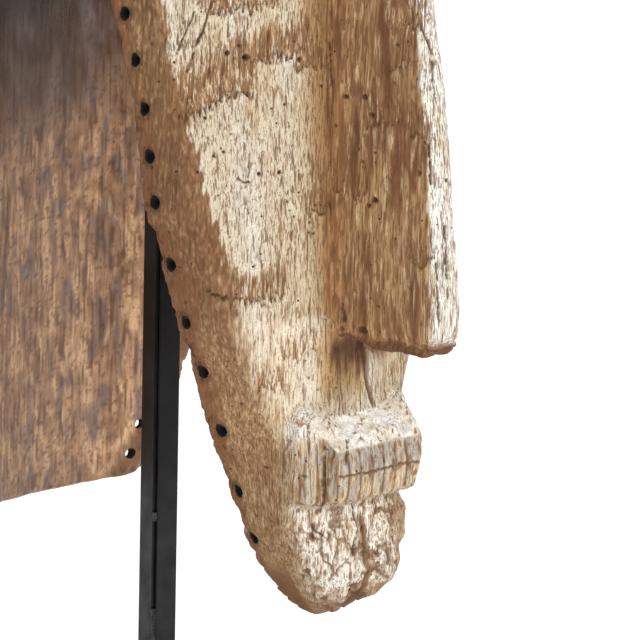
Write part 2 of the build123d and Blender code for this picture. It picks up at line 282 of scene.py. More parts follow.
def relax(mesh, rounds, share=1.0):
    """Even out the mesh's points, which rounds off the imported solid's facets and edges."""
    pairs = np.empty(len(mesh.edges) * 2, int)
    mesh.edges.foreach_get("vertices", pairs)
    pairs = pairs.reshape(-1, 2)
    points = read_points(mesh)
    count = np.maximum(np.bincount(pairs.ravel(), minlength=len(points)), 1)[:, None]
    for _ in range(rounds):
        total = np.zeros_like(points)
        for axis in range(3):
            total[:, axis] += np.bincount(pairs[:, 0], points[pairs[:, 1], axis], len(points))
            total[:, axis] += np.bincount(pairs[:, 1], points[pairs[:, 0], axis], len(points))
        points += 0.5 * share * (total / count - points)
    write_points(mesh, points)


def refine(mesh, wanted):
    """Split each face whose points are all wanted into four."""
    work = bmesh.new()
    work.from_mesh(mesh)
    edges = [e for e in work.edges if wanted[e.verts[0].index] and wanted[e.verts[1].index]]
    bmesh.ops.subdivide_edges(work, edges=edges, cuts=1, use_grid_fill=True)
    work.to_mesh(mesh)
    work.free()


def outer_share(points, normals):
    """1 on the outside of the carving, 0 on its hollow side."""
    height = points[:, 2] - chin
    spoke = points - np.array([0, -15.0, 0])
    spoke[:, 2] = height - np.minimum(height, 430)
    spoke /= np.linalg.norm(spoke, axis=1)[:, None]
    return smooth(0.0, 0.3, np.einsum("ij,ij->i", spoke, normals))


def line_distance(a, b, line):
    """How far each point (a, b) is from a line of several runs."""
    nearest = np.full(len(a), 1e9)
    for (x0, y0), (x1, y1) in zip(line[:-1], line[1:]):
        run = np.array([x1 - x0, y1 - y0])
        t = np.clip(((a - x0) * run[0] + (b - y0) * run[1]) / (run @ run), 0, 1)
        nearest = np.minimum(nearest, np.hypot(a - x0 - t * run[0], b - y0 - t * run[1]))
    return nearest


def points_near(points, centres, reach):
    """For each centre, the points in a box of half side reach round it."""
    order = np.argsort(points[:, 2])
    level = points[order, 2]
    for number, centre in enumerate(centres):
        first, last = np.searchsorted(level, (centre[2] - reach, centre[2] + reach))
        slab = order[first:last]
        near = np.abs(points[slab] - centre).max(axis=1) < reach
        yield number, slab[near]


carving = dense_copy(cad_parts["mask_shell"])
mesh = carving.data
relax(mesh, EVEN_ROUNDS)
points = read_points(mesh) / MM
outer = outer_share(points, read_normals(mesh))
height = points[:, 2] - chin
face_area = (points[:, 1] < -84 + 0.1 * np.maximum(height - 300, 0)) & (height < 445) & (outer > 0.3)
refine(mesh, face_area)
relax(mesh, 1)
points = read_points(mesh) / MM
height = points[:, 2] - chin
mouth_block = (np.abs(points[:, 0]) < 42) & (points[:, 1] < -150) & (height > 62) & (height < 134)
nose_block = (np.abs(points[:, 0]) < 21) & (points[:, 1] < -165) & (height > 165) & (height < 470)
relax(mesh, BLOCK_ROUNDS, np.maximum(mouth_block, 0.7 * nose_block)[:, None])

# Where the points are, in mm. across is the distance from the middle, seen is 1 on the -X side,
# which faces the camera, and the diagonal runs level across that side of the face.
points = read_points(mesh) / MM
normals = read_normals(mesh)
x, y = points[:, 0], points[:, 1]
outer = np.maximum(outer_share(points, normals), smooth(-142.5, -145.5, y))
h = points[:, 2] - chin
across = np.abs(x)
seen = smooth(14, 8, x)
diagonal = (x - y) * math.sqrt(0.5)
flank = (-across - y) * math.sqrt(0.5)

# Zones of the carving, each 1 inside and 0 outside. Limits are heights, depths or distances in mm.
ridge_y = np.interp(h, RIDGE_HEIGHTS, RIDGE_Y)
before_rim = np.interp(h, RIM_HEIGHTS, RIM_Y) - y
behind_rim = y - np.interp(h, REAR_HEIGHTS, REAR_Y)
into_rim = np.where(y < ARCH_MIDDLE_Y, before_rim, behind_rim)
into_rim = np.where(h > ARCH_APEX, FAR_FROM_RIM, into_rim)
face = smooth(-15, -40, y) * smooth(475, 440, h)
nose = smooth(21, 17, across) * smooth(-150, -166, y + 10 * smooth(330, 440, h))
nose = nose * smooth(166, 176, h) * smooth(470, 458, h)
front_edge = 0.45 * Noise(8)(points, (2.2, 2.2, 22))
nose_front = nose * smooth(0.1, 0.75, front_edge - normals[:, 1]) * smooth(-190, -205, y)
nose_edge = np.interp(diagonal, [94, 108, 126], [190, 180, 168])
nose_root = seen * smooth(93.5, 97.5, diagonal) * smooth(-3, 3, h - nose_edge) * smooth(470, 458, h)
nose = np.maximum(nose, nose_root)
nose_under = smooth(20, 17, across) * smooth(-150, -160, y)
nose_under = nose_under * smooth(-0.4, -0.75, normals[:, 2]) * smooth(160, 170, h)
mouth = smooth(41, 35, across) * smooth(-147, -152, y) * smooth(63, 71, h) * smooth(131, 126, h)
mouth *= smooth(-1.5, 1.5, h - 68 - 0.3 * (-148 - y))
mouth_front = mouth * smooth(0.45, 0.8, -normals[:, 1])
mouth_top = mouth * smooth(0.25, 0.6, normals[:, 2])
teeth_end = smooth(78, 82, flank + 2 * Noise(9)(points, (3, 3, 12)))
teeth_end = teeth_end * smooth(-138, -146, y) * smooth(52, 46, across)
teeth_end *= smooth(75, 79, h) * smooth(121, 115, h)
teeth = np.maximum(mouth, teeth_end) * (1 - mouth_top) * smooth(121, 116, h)
torn_line = 2.0 * Noise(2)(points, (12, 12, 24)) + 2.5 * Noise(4)(points, (2.6, 2.6, 16))
soft = smooth(235, 170, h)
band_half = 2.5 + 7 * soft
band_reach = np.interp(h, [175, 215, 258, 291, 330], [0, 4.2, 4.6, 2.0, 0])
band = face * smooth(-band_half, band_half, y - ridge_y + band_reach + torn_line)
band = band * (1 - mouth) * (1 - nose)
cheek = face * (1 - band) * (1 - nose) * (1 - mouth)
chin_zone = smooth(74, 62, h) * smooth(-120, -150, y)

# Noise that several features share, from long fibres to small flecks.
fibre = Noise(3)(points, (2.0, 2.0, 500))
wide = Noise(5)(points, (60, 60, 60))
middle = Noise(7)(points, (24, 24, 30))
blotch = Noise(11)(points, (9, 9, 12))
grain = Noise(13)(points, (2.2, 2.2, 26))
grain_wide = Noise(17)(points, (5.5, 5.5, 60))
crumble = Noise(19)(points, (2.4, 2.4, 2.8))
streak = Noise(23)(points, (6.5, 6.5, 60))
stain = Noise(73)(points, (18, 18, 50))
fleck = Noise(79)(points, (3.0, 3.0, 14))

# Broken layers: the wood is worn deeper and deeper down the grain, then steps out at a torn edge.
torn = h + 6.0 * fibre + 2.0 * Noise(29)(points, (4, 4, 60))
layer = (LAYER_TOP - torn) / LAYER_HEIGHT + 0.9 * Noise(31)(points, (46, 46, 400)) + 0.45 * middle
worn = smooth(0.25, 0.98, layer - np.floor(layer))
small_layer = (LAYER_TOP - torn) / SMALL_LAYER_HEIGHT
small_layer = small_layer + 0.9 * Noise(37)(points, (13, 13, 400)) + 0.5 * blotch
chipped = smooth(0.45, 0.98, small_layer - np.floor(small_layer))
known = seen * smooth(-84, -92, y)
bare = worn * smooth(-0.2, 0.3, Noise(41)(points, (55, 55, 90))) * (1 - known)
small_share = smooth(0.0, 0.5, Noise(43)(points, (30, 30, 45))) * (1 - 0.5 * known)
bare *= 1 - smooth(142, 132, h) * smooth(-146, -156, y)
step_depth = 1.6 * bare * (cheek + 0.5 * nose)
edge_shadow = np.zeros(len(points))
for edge, rise, depth, undercut_shadow in CHIPS:
    along, level = zip(*edge)
    above = torn - np.interp(diagonal, along, level)
    ends = smooth(along[0] - 3, along[0] + 1, diagonal + 2 * fibre)
    ends *= smooth(along[-1] + 3, along[-1] - 1, diagonal + 2 * fibre)
    share = known * ends * smooth(-0.3, 0.5, above)
    step_depth = np.maximum(step_depth, share * depth * smooth(rise, 0.2 * rise, above))
    bare = np.maximum(bare, share * smooth(1.15 * rise, 0.55 * rise, above))
    # Just above each torn edge a painted shadow runs along the step.
    lip = share * undercut_shadow * smooth(1.6, 0.2, above)
    edge_shadow = np.maximum(edge_shadow, lip * smooth(-0.5, 0.1, blotch + 0.4))

# Dry wood shows its grain. The smooth cream below the lower crack hides it.
dry = 0.25 + 0.5 * smooth(-0.2, 0.5, Noise(44)(points, (26, 26, 60)))
dry = np.clip(dry + 0.3 * smooth(55, 75, diagonal), 0, 1)
rough_share = np.clip(dry * 0.55 + 0.95 * bare + 0.4 * chipped * small_share, 0, 1.35)
rough_share *= (1 - 0.25 * band) * (1 - 0.6 * chin_zone)
plaster = seen * cheek * smooth(194, 184, h + 4 * middle)
plaster = plaster * smooth(100, 118, h) * smooth(104, 92, diagonal)
rough_share *= 1 - 0.6 * plaster

# What is added along the normals of the carving's outside, in mm.
groove = smooth(0.1, 0.8, grain) * rough_share
wide_groove = smooth(0.15, 0.9, grain_wide) * (0.35 + 0.65 * nose)

outside = -step_depth - 0.8 * chipped * small_share * (cheek + 0.6 * nose + 0.4 * band)
outside -= 1.3 * groove + 1.1 * wide_groove * (0.45 * cheek + nose + 0.5 * band)
outside += 0.3 * blotch * (1 - nose) + 0.14 * crumble
lumps = Noise(47)(points, (13, 13, 13))
pocks = Noise(49)(points, (5, 5, 6))
crease = smooth(0.14, 0.0, np.abs(Noise(51)(points, (11, 11, 20)) + 0.14 * crumble))
crease = crease * smooth(-0.3, 0.2, stain)
# The corner between the nose's side and the cheek is hollowed, not sharp.
outside += 4.0 * nose_root * smooth(112, 103, diagonal) * (1 - smooth(0.2, 0.6, nose_front))
pocked = smooth(0.25, 0.7, pocks + 0.3 * blotch)
outside += chin_zone * (1.5 * blotch + 1.6 * lumps - 0.5 - 1.6 * pocked - 1.6 * crease)
crumbled = 1.2 * Noise(45)(points, (5, 5, 5)) - smooth(0.25, 0.7, crumble)
outside += mouth_top * (1.5 * blotch + crumbled)

# The teeth: ribs down the grain, upright cuts and the slit between the lips.
ribs = 0.8 * Noise(53)(points, (1.8, 1.8, 26)) + 0.4 * Noise(56)(points, (4.5, 4.5, 16))
outside += teeth * (1.1 * ribs - 0.5) * (1 - 0.5 * mouth_front)
lip_edge = mouth * smooth(9, 2, np.abs(h - 110)) * smooth(-166, -176, y)
outside -= lip_edge * 2.2 * smooth(-0.2, 0.5, blotch)
teeth_cut = np.zeros(len(points))
for place in TOOTH_CUTS:
    cut = smooth(0.9, 0.2, np.abs(x - place - 0.5 * crumble)) * smooth(79, 82, h) * smooth(112, 108, h)
    teeth_cut = np.maximum(teeth_cut, cut)
slit_level = SLIT_LEVEL + 1.6 * Noise(55)(points, (6, 6, 60)) + 0.8 * fibre
teeth_cut = np.maximum(teeth_cut, smooth(1.1, 0.3, np.abs(h - slit_level)))
teeth_cut *= mouth_front * (1 - mouth_top)
outside -= 1.1 * teeth_cut
# Worn shoulders that fill the corners between the cheeks and the mouth block's ends.
shoulder = smooth(17, 3, np.hypot(across - 34, y + 157) + 2 * blotch) * smooth(73, 81, h)
shoulder *= smooth(137, 125, h + 2 * blotch) * seen
far_shoulder = smooth(54, 40, across + 3 * blotch) * smooth(28, 35, across) * smooth(76, 118, h)
far_shoulder *= smooth(137, 127, h + 2 * blotch) * smooth(-138, -145, y) * (1 - seen)
outside += far_shoulder * (8.0 + 2.0 * blotch)
# The nose's foot hangs lower towards the front, and its edges are worn in.
hang = 3.0 * smooth(-164, -182, y) + 2.2 * smooth(-180, -195, y)
outside += nose_under * (hang - 1.2 * smooth(-0.1, 0.6, blotch))
outside -= 3.2 * nose * smooth(-190, -212, y) * smooth(186, 168, h)
nose_foot = nose * smooth(196, 178, h)
outside -= nose_foot * 1.4 * smooth(0.0, 0.7, Noise(57)(points, (7, 7, 10)))

# The chin's split down the middle, with a pit at its foot, between two worn swellings.
split = np.abs(x - 3.0 * np.sin(h / 21.0) + 0.5 + 3.0 * Noise(54)(points, (40, 40, 9)))
below_mouth = smooth(70, 62, h) * smooth(-140, -150, y)
furrow = 2.6 * smooth(2.4, 0.4, split) + 0.9 * smooth(9, 2, split)
outside -= below_mouth * furrow * smooth(-0.8, 0.1, blotch)
chin_pit = below_mouth * smooth(9, 3, np.hypot(x - 2, (h - 11) * 0.8))
outside -= 3.0 * chin_pit + 3.4 * chin_zone * smooth(16, 4, h)
outside += below_mouth * smooth(8, 22, x) * 3.0 * smooth(8, 30, h) * smooth(72, 54, h)
outside += below_mouth * 1.5 * smooth(16, 4, np.hypot(across - 15, (h - 38) * 0.7))
# A shallow step beside the nose's foot.
lip_line = line_distance(x, h, [(6, 174), (9, 158), (11, 142), (17, 128)])
above_mouth = smooth(124, 130, h) * smooth(178, 172, h) * smooth(-148, -152, y)
outside -= above_mouth * 2.0 * smooth(2.4, 0.4, lip_line)

# Cracks and worm holes of the seen side, darkened with painted shade.
crevice_shade = 0.8 * edge_shadow
on_seen = seen * outer * smooth(-80, -90, y)
broken = smooth(-0.55, 0.0, Noise(58)(points, (4, 4, 4)))
for line, half, depth in CRACKS:
    reach = line_distance(diagonal + 0.7 * crumble, h + 1.5 * fibre, line)
    cut = on_seen * broken * smooth(half + 0.7, half * 0.3, reach)
    outside -= depth * cut
    crevice_shade = np.maximum(crevice_shade, cut * 0.9)
for along, level, radius, depth in PITS:
    reach = np.hypot(diagonal - along, h - level) + 0.3 * crumble
    cut = on_seen * smooth(radius + 0.4, radius * 0.5, reach)
    outside -= depth * cut
    crevice_shade = np.maximum(crevice_shade, cut)

# More worm holes over the whole outside, from a seeded draw.
draw = np.random.default_rng(71)
shell = np.flatnonzero(outer > 0.9)
centres = points[draw.choice(shell, WORM_HOLES, replace=False)]
radii = draw.uniform(0.4, 0.9, len(centres))
for number, near in points_near(points, centres, WORM_REACH):
    far = np.linalg.norm(points[near] - centres[number], axis=1)
    cut = smooth(radii[number] + 0.4, radii[number] * 0.4, far)
    outside[near] -= WORM_DEPTH * cut
    crevice_shade[near] = np.maximum(crevice_shade[near], cut)

# The lacing holes' worn edges: how far each point is from a hole's middle.
to_hole = np.full(len(points), FAR_FROM_HOLE)
for hole_y, level in ARCH_HOLES:
    to_hole = np.minimum(to_hole, np.hypot(y - hole_y, (h - level) / HOLE_TALLNESS))
for half_spacing, level in BACK_HOLES:
    reach = np.hypot(across - half_spacing, h - level)
    to_hole = np.minimum(to_hole, reach + FAR_FROM_HOLE * (y < 50))
to_hole += 0.3 * crumble + 0.4 * blotch
in_hole = smooth(HOLE_RADIUS + 1.2, HOLE_RADIUS + 0.4, to_hole)
hole_edge = smooth(HOLE_RADIUS + 2.8, HOLE_RADIUS + 0.8, to_hole)
outside -= 0.6 * hole_edge

# Both sides of the wood wave together, so the wall keeps its thickness.
wave = (1.3 * wide + 0.8 * middle) * (0.55 + 0.45 * outer)
inside = 0.5 * Noise(59)(points, (14, 14, 22)) + 0.2 * grain
shift = wave * smooth(1, 9, into_rim) + outer * outside * smooth(0, 5, into_rim) + (1 - outer) * inside
points += normals * np.clip(shift * (1 - in_hole), DEEPEST, PROUDEST)[:, None]
points[:, :2] -= SHOULDER_FILL * shoulder[:, None]
# The nose's front lower corner is worn round.
forward = np.maximum(NOSE_CORNER_Y - points[:, 1], 0) / NOSE_CORNER_DEPTH
down = np.maximum(NOSE_CORNER_HEIGHT + chin - points[:, 2], 0) / NOSE_CORNER_RISE
rounding = 1 - np.maximum(forward, down) / np.maximum(np.hypot(forward, down), 1e-6)
rounding *= np.minimum(forward, down) > 0
points[:, 1] += rounding * forward * NOSE_CORNER_DEPTH
points[:, 2] += rounding * down * NOSE_CORNER_RISE

# The rim's torn edge: bites taken towards the front along the face, and towards the back behind.
bite = 5.0 * smooth(0.15, 0.7, Noise(61)(points, (9, 9, 17)))
bite += 2.2 * smooth(0.0, 0.6, Noise(67)(points, (3.2, 3.2, 5.5)))
bite *= smooth(9, 0, into_rim) * smooth(440, 425, h)
points[:, 1] += np.where(y < ARCH_MIDDLE_Y, -bite, bite * 0.7)
write_points(mesh, points * MM)


# ---------------------------------------------------------------------------------------------
# The carving's colours, painted on its points
# ---------------------------------------------------------------------------------------------
def linear(colour):
    """Display colour to linear light."""
    colour = np.asarray(colour, float)
    return np.where(colour < 0.04045, colour / 12.92, ((colour + 0.055) / 1.055) ** 2.4)


CREAM = (0.81, 0.785, 0.725)
CHALK = (0.93, 0.92, 0.89)
OCHRE = (0.76, 0.67, 0.51)
TAN = (0.57, 0.44, 0.30)
NUT = (0.58, 0.43, 0.29)
GRAIN_BROWN = (0.52, 0.35, 0.20)
UMBER = (0.43, 0.29, 0.18)
BARK = (0.31, 0.19, 0.12)
SLATE = (0.66, 0.64, 0.60)
STRAW = (0.78, 0.69, 0.55)
# The near black brown of painted shade in cracks, pits, holes and along torn edges.
CREVICE_SHADE = (0.09, 0.055, 0.04)

count = len(points)
fine = Noise(83)(points, (1.5, 1.5, 9))
tuft = Noise(91)(points, (1.6, 1.6, 18))


def plain(colour):
    """The same colour for every point."""
    return np.tile(colour, (count, 1))


# The pale cheek.
pale = mixed(plain(CREAM), OCHRE, np.clip(0.15 + 0.4 * stain + 0.25 * dry, 0, 1))
pale = mixed(pale, OCHRE, 0.6 * smooth(72, 96, diagonal) * seen * smooth(160, 200, h))
pale = mixed(pale, (0.70, 0.53, 0.35), 0.7 * np.clip(bare, 0, 1) * smooth(-0.4, 0.4, tuft))
splinter = smooth(0.05, 0.4, Noise(87)(points, (1.8, 1.8, 26)))
pale = mixed(pale, (0.86, 0.80, 0.68), 0.7 * np.clip(bare, 0, 1) * splinter)
pale = mixed(pale, GRAIN_BROWN, 0.7 * smooth(0.1, 0.8, groove))
flecked = 0.65 * smooth(0.25, 0.6, fleck) * np.clip(0.2 + 0.45 * bare + 0.3 * dry, 0, 1)
pale = mixed(pale, GRAIN_BROWN, flecked)
pale = mixed(pale, (0.88, 0.83, 0.74), 0.7 * plaster * (1 - 0.6 * smooth(0.1, 0.5, fleck)))

# The brown band along the rim.
brown = mixed(plain(TAN), UMBER, np.clip(0.35 + 0.55 * stain + 0.45 * fleck, 0, 1))
brown = mixed(brown, (0.73, 0.60, 0.43), smooth(220, 120, h) * np.clip(0.35 + 0.7 * middle, 0, 1))
brown = mixed(brown, (0.74, 0.63, 0.46), 0.6 * smooth(0.15, 0.55, Noise(86)(points, (5, 5, 16))))
brown = mixed(brown, BARK, 0.6 * smooth(0.15, 0.7, grain) + 0.4 * smooth(0.1, 0.5, fine))
brown = mixed(brown, (0.80, 0.70, 0.53), 0.5 * smooth(0.15, 0.5, tuft) * smooth(260, 140, h))
brown = mixed(brown, (0.36, 0.20, 0.11), 0.35 * smooth(180, 215, h) * smooth(340, 290, h))
speck = Noise(85)(points, (1.8, 1.8, 4.5))
brown = mixed(brown, (0.31, 0.19, 0.11), 0.55 * smooth(0.15, 0.45, speck))
brown = mixed(brown, (0.76, 0.65, 0.48), 0.45 * smooth(0.15, 0.5, -speck))
brown = mixed(brown, (0.76, 0.62, 0.45), 0.3 * smooth(210, 130, h))

# The nose's streaky side.
streaky = mixed(plain((0.70, 0.55, 0.38)), (0.41, 0.24, 0.14), smooth(-0.1, 0.5, streak + 0.5 * stain))
streaky = mixed(streaky, (0.86, 0.77, 0.60), 0.8 * smooth(0.15, 0.5, Noise(89)(points, (2.6, 2.6, 26))))
streaky = mixed(streaky, (0.44, 0.26, 0.15), 0.7 * smooth(0.1, 0.45, tuft))
streaky = mixed(streaky, (0.60, 0.38, 0.21), 0.5 * smooth(114, 100, diagonal) * seen)
streaky = mixed(streaky, BARK, 0.7 * smooth(0.15, 0.7, grain_wide) * smooth(-0.1, 0.5, grain))
streaky = mixed(streaky, (0.30, 0.17, 0.10), 0.5 * smooth(0.3, 0.6, fleck))

# The chin's mottled chalk.
mottle = mixed(plain(CHALK), OCHRE, 0.1 + 0.3 * stain)
hollows = smooth(0.1, 0.6, 0.7 * lumps + 0.6 * pocks + 0.6 * fleck)
mottle = mixed(mottle, NUT, 0.6 * hollows)
mottle = mixed(mottle, BARK, 0.7 * np.maximum(smooth(0.35, 0.7, pocks + 0.3 * blotch), crease))
mottle = mixed(mottle, (0.45, 0.30, 0.19), 0.75 * smooth(24, 10, h + 7 * blotch))

# The cheek, the band and the chin, with a warm stain beside the nose.
root = smooth(31, 18, across + 3 * fleck) * smooth(-100, -130, y) * smooth(178, 200, h)
pale = mixed(pale, (0.63, 0.47, 0.30), 0.85 * root)
torn_band = band + 0.22 * fleck * (band > 0.02) * (band < 0.98)
tint = mixed(pale, brown, smooth(0.35 - 0.35 * soft, 0.65 + 0.35 * soft, torn_band))
chin_brown = mixed(brown, mottle, 0.25 + 0.3 * smooth(0.0, 0.4, lumps))
chin_front = smooth(70, 92, diagonal + 8 * blotch) * seen + (1 - seen) * smooth(26, 16, across)
chin_colour = mixed(chin_brown, mottle, chin_front)
chin_paint = smooth(81, 73, h) * smooth(-120, -150, y)
tint = mixed(tint, chin_colour, np.clip(chin_paint * (1 - 0.9 * band) * 0.95, 0, 1))

# The rim is worn to rust, with dark torn wood near its edge and painted shade of its notches.
strip_width = np.interp(h, [30, 60, 100, 130, 190, 225, 250, 350], [5, 8, 10, 12, 17, 19, 9, 5])
strip = smooth(5, -5, into_rim - strip_width + 5 * blotch + 5 * fleck) * face
strip = np.maximum(strip, smooth(8, 2, into_rim + 5 * fleck))
rusty = mixed(plain((0.45, 0.24, 0.12)), UMBER, np.clip(0.35 + fleck, 0, 1))
rusty = mixed(rusty, BARK, 0.7 * smooth(0.2, 0.6, tuft))
tint = mixed(tint, rusty, 0.85 * strip)
# Dark patches near the rim: partly dark torn wood, partly painted shade of notches.
rim_dark_and_notch_shade = smooth(0.15, 0.45, Noise(96)(points, (6, 6, 9))) * smooth(11, 4, into_rim)
tint = mixed(tint, (0.19, 0.10, 0.06), 0.8 * rim_dark_and_notch_shade * face)

# The nose: streaky sides, a near white front that is a painted highlight with ochre stains, and a browner
# foot.
tint = mixed(tint, streaky, nose * (1 - nose_front))
front_stain = np.clip(0.05 + 0.5 * smooth(0.1, 0.8, grain) + 0.3 * stain, 0, 1)
lit_front = mixed(plain((0.90, 0.90, 0.875)), OCHRE, front_stain)
# The front faces of the nose get the near white painted highlight.
tint = mixed(tint, lit_front, nose_front)
tint = mixed(tint, (0.62, 0.44, 0.26), nose_foot * 0.6 * smooth(-0.3, 0.4, fleck))

# The mouth block: a chalky ledge, grey and straw teeth, and the shoulders beside them.
ledge = mixed(plain(CHALK), OCHRE, 0.15 + 0.3 * stain)
pitted = smooth(0.2, 0.55, Noise(88)(points, (2.4, 2.4, 5))) * smooth(-0.1, 0.4, blotch + 0.2)
ledge = mixed(ledge, (0.52, 0.36, 0.22), pitted)
tint = mixed(tint, ledge, mouth_top)
row = 0.7 * Noise(97)(points, (1.5, 1.5, 15)) + 0.6 * Noise(98)(points, (6, 6, 14))
slaty = row + 0.35 * mouth_front * smooth(95, 99, h)
rib_colour = mixed(plain(STRAW), SLATE, smooth(-0.3, 0.35, slaty))
rib_colour = mixed(rib_colour, (0.42, 0.28, 0.18), smooth(0.0, -0.5, ribs) * (0.7 - 0.2 * mouth_front))
rib_colour = mixed(rib_colour, (0.84, 0.78, 0.68), 0.6 * smooth(0.2, 0.6, ribs))
rotten = smooth(0.25, 0.55, Noise(99)(points, (4, 4, 6)))
rib_colour = mixed(rib_colour, (0.50, 0.33, 0.20), 0.7 * rotten)
tint = mixed(tint, rib_colour, teeth)
# The cuts between the teeth and the lip slit get painted shade.
tint = mixed(tint, (0.26, 0.18, 0.13), 0.75 * teeth_cut)
shoulder_side = shoulder * smooth(118, 106, h + 5 * blotch) * (1 - teeth)
shoulder_top = smooth(0, 0.5, shoulder + far_shoulder) * smooth(112, 120, h + 4 * blotch)
tint = mixed(tint, (0.66, 0.52, 0.36), 0.6 * shoulder_side)
tint = mixed(tint, ledge, 0.9 * shoulder_top)

# A painted shadow and brown stain under the nose, painted shade along the step beside its foot,
# and the chin's split and pit.
under_nose_shadow_and_stain = smooth(144, 170, h + 6 * blotch + 9 * fibre) * smooth(190, 178, h) * smooth(-145, -150, y)
under_nose_shadow_and_stain *= smooth(40, 20, across + 5 * fleck + 4 * blotch) * smooth(97, 106, diagonal + 4 * fleck)
ochre_zone = smooth(126, 150, h) * smooth(186, 176, h) * smooth(91, 99, diagonal + 3 * fleck)
ochre_zone = ochre_zone * seen * (1 - mouth) * (1 - nose)
tint = mixed(tint, (0.74, 0.58, 0.36), 0.8 * ochre_zone * smooth(124, 118, diagonal))
# Below the nose a painted shadow mixed with a brown stain, and painted shade on its downward faces.
tint = mixed(tint, (0.25, 0.11, 0.055), np.maximum(under_nose_shadow_and_stain * (1 - nose), nose_under * 0.9))
# Painted shade along the shallow step beside the nose's foot, darkest near its top.
tint = mixed(tint, BARK, 0.8 * above_mouth * smooth(2.4, 0.6, lip_line))
tint = mixed(tint, (0.24, 0.11, 0.06), 0.8 * above_mouth * smooth(6, 1, lip_line) * smooth(148, 166, h))
tint = mixed(tint, UMBER, below_mouth * 0.75 * smooth(3.6, 1, split))
tint = mixed(tint, (0.24, 0.15, 0.09), chin_pit * 0.8)

# The crown and the back flap's outside.
long_streak = Noise(92)(points, (11, 11, 150)) + 0.5 * Noise(90)(points, (4, 4, 60)) + 0.3 * wide
dome = mixed(pale, brown, np.clip(0.5 + 0.7 * long_streak + 0.15 * stain, 0.1, 0.9))
tint = mixed(tint, dome, (1 - face) * (1 - nose))
# Painted shade in the cracks, pits, worm holes and along the torn edges.
tint = mixed(tint, CREVICE_SHADE, crevice_shade * 0.92)

# The hollow side: warm and rubbed low down; above, painted shade that deepens to near black at
# the top, with a grey painted sheen.
adze = Noise(93)(points, (7, 7, 9))
low_shade = np.clip(0.35 + 0.5 * stain + 0.5 * fleck + 0.5 * adze, 0, 1)
hollow_low = mixed(plain((0.93, 0.75, 0.58)), (0.58, 0.40, 0.28), low_shade)
bloom = smooth(0.1, 0.5, Noise(94)(points, (6, 6, 26)))
hollow_low = mixed(hollow_low, (0.42, 0.36, 0.38), 0.6 * bloom)
# Higher up, dark brown painted shade mixed with a grey painted sheen.
top_sheen_share = np.clip(0.35 + 0.9 * stain + 0.5 * adze, 0, 1)
hollow_shade_and_sheen = mixed(plain((0.29, 0.20, 0.16)), (0.52, 0.47, 0.47), top_sheen_share)
hollow = mixed(hollow_low, hollow_shade_and_sheen, smooth(215, 320, h + 30 * wide + 12 * blotch))
hollow = mixed(hollow, (0.26, 0.15, 0.10), 0.6 * smooth(0.0, 0.5, grain) * smooth(0.5, -0.2, blotch))
hollow = mixed(hollow, (0.34, 0.21, 0.15), 0.5 * smooth(0.15, 0.5, crumble))
hollow = mixed(hollow, (0.80, 0.62, 0.46), 0.45 * smooth(0.1, 0.5, fleck) * smooth(330, 230, h))
# Near the top of the hollow the colour goes almost black: painted shadow deep inside the dome.
hollow = mixed(hollow, (0.04, 0.035, 0.03), smooth(316, 352, h + 10 * middle))
behind_chin = smooth(90, 60, h) * smooth(-60, -90, y)
hollow = mixed(hollow, UMBER, np.maximum(0.85 * smooth(6, 2, into_rim), 0.8 * behind_chin))
tint = mixed(hollow, tint, smooth(0.2, 0.7, outer))
tint = mixed(tint, (0.22, 0.12, 0.07), 0.6 * hole_edge * outer * smooth(-0.4, 0.3, fleck))


def store(name, values, kind="FLOAT", field="value"):
    """Keep a value for each point on the carving's mesh, for its material to read."""
    layer = mesh.attributes.new(name, kind, "POINT")
    layer.data.foreach_set(field, values.astype(np.float32).ravel())


colours = np.ones((count, 4))
colours[:, :3] = linear(np.clip(tint, 0, 1))
store("tint", colours, "FLOAT_COLOR", "color")
dashed = 0.35 + 0.4 * dry + 0.5 * bare - 0.05 * band - 0.3 * teeth - 0.4 * mouth_top - 0.1 * chin_zone
dashed = dashed * (1 - 0.65 * plaster)
store("worn", np.clip(outer * dashed * (1 - mouth_top), 0, 1))
gappy = bare + 0.5 * chipped * small_share + 0.35 * nose + 0.25 * dry * cheek + 0.4 * band
store("bare", np.clip(outer * gappy, 0, 1))
store("outside", np.maximum(outer, in_hole))
store("to_hole", np.minimum(to_hole, 20.0))
specky = 0.35 + 1.1 * band + 0.6 * chin_zone - 0.5 * mouth_top
store("speckled", np.clip(outer * specky, 0, 1.5))
mesh.polygons.foreach_set("use_smooth", [True] * len(mesh.polygons))

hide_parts("mask_shell")
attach(carving, "mask")

# ---------------------------------------------------------------------------------------------
# The carving's material: the painted colours, broken up by fibres, splits, specks and worm holes
# ---------------------------------------------------------------------------------------------
wood, tree, shader, node = new_material("mask_wood")
link = tree.links.new
where = node("ShaderNodeTexCoord")
# The mix node's colour sockets: its other sockets of the same names are for other kinds.
MIX_UNDER = 6
MIX_OVER = 7
MIX_RESULT = 2


def painted(name, output="Fac"):
    """What was stored for the carving's points under this name."""
    return node("ShaderNodeAttribute", attribute_name=name).outputs[output]


def stretched(scale, squeeze, detail):
    """Noise drawn out along the grain."""
    mapping = node("ShaderNodeMapping")
    mapping.inputs["Scale"].default_value = (1, 1, squeeze)
    link(where.outputs["Object"], mapping.inputs["Vector"])
    noise = node("ShaderNodeTexNoise")
    noise.inputs["Scale"].default_value = scale
    noise.inputs["Detail"].default_value = detail
    noise.inputs["Roughness"].default_value = 0.6
    link(mapping.outputs["Vector"], noise.inputs["Vector"])
    return noise.outputs["Fac"]


def ranged(value, low, high, start=0.0, end=1.0):
    """start where the value is low, end where it is high, and an even curve between."""
    made = node("ShaderNodeMapRange", interpolation_type="SMOOTHSTEP")
    for key, number in (("From Min", low), ("From Max", high), ("To Min", start), ("To Max", end)):
        made.inputs[key].default_value = number
    link(value, made.inputs["Value"])
    return made.outputs["Result"]


